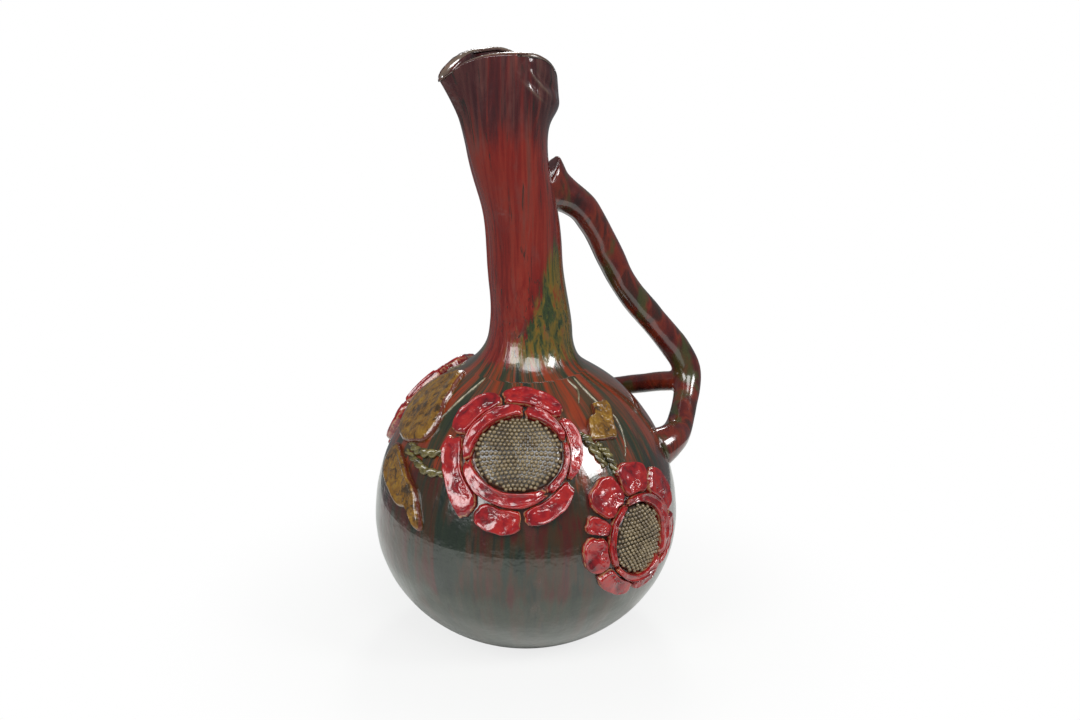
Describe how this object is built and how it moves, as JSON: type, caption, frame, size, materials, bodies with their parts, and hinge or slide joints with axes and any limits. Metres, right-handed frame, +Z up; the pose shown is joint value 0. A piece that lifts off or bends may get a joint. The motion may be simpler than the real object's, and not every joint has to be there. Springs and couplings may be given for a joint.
{
  "type": "jug",
  "caption": "Tall glazed pottery jug with a round belly, leaning neck, pinched spout, branch-shaped handle and applied flowers and leaves in relief.",
  "frame": {"origin": "middle of the foot, on the plane that the jug rests on", "axes": "+Z up along the belly's axis; +X towards the handle; the spout points to -X; the two front flowers face -Y"},
  "size_m": [0.1728, 0.154, 0.2857],
  "materials": {
    "body_glaze": "glossy lead-type glaze, red, ochre and dark green run together in vertical streaks",
    "handle_glaze": "glossy glaze, mottled red-brown, olive and dark green",
    "petal_glaze": "glossy crimson glaze, paler at the edges",
    "seed_glaze": "satin khaki glaze over small beads",
    "leaf_glaze": "glossy ochre glaze with olive and red",
    "stem_glaze": "glossy olive glaze"
  },
  "bodies": {
    "root": {"back_flower_inner_petal_1": "petal_glaze", "back_flower_inner_petal_2": "petal_glaze", "back_flower_inner_petal_3": "petal_glaze", "back_flower_inner_petal_4": "petal_glaze", "back_flower_inner_petal_5": "petal_glaze", "back_flower_petal_1": "petal_glaze", "back_flower_petal_2": "petal_glaze", "back_flower_petal_3": "petal_glaze", "back_flower_petal_4": "petal_glaze", "back_flower_petal_5": "petal_glaze", "back_flower_petal_6": "petal_glaze", "back_flower_seed_head": "seed_glaze", "belly": "body_glaze", "front_flower_inner_petal_1": "petal_glaze", "front_flower_inner_petal_2": "petal_glaze", "front_flower_inner_petal_3": "petal_glaze", "front_flower_inner_petal_4": "petal_glaze", "front_flower_petal_1": "petal_glaze", "front_flower_petal_2": "petal_glaze", "front_flower_petal_3": "petal_glaze", "front_flower_petal_4": "petal_glaze", "front_flower_petal_5": "petal_glaze", "front_flower_petal_6": "petal_glaze", "front_flower_seed_head": "seed_glaze", "handle_branch": "handle_glaze", "handle_strut": "handle_glaze", "large_leaf": "leaf_glaze", "left_stem_lower": "stem_glaze", "left_stem_upper": "stem_glaze", "neck": "body_glaze", "pointed_leaf": "leaf_glaze", "right_stem_lower": "stem_glaze", "right_stem_upper": "stem_glaze", "side_flower_inner_petal_1": "petal_glaze", "side_flower_inner_petal_2": "petal_glaze", "side_flower_inner_petal_3": "petal_glaze", "side_flower_petal_1": "petal_glaze", "side_flower_petal_2": "petal_glaze", "side_flower_petal_3": "petal_glaze", "side_flower_petal_4": "petal_glaze", "side_flower_petal_5": "petal_glaze", "side_flower_petal_6": "petal_glaze", "side_flower_petal_7": "petal_glaze", "side_flower_petal_8": "petal_glaze", "side_flower_seed_head": "seed_glaze", "small_leaf": "leaf_glaze"}
  },
  "joints": []
}
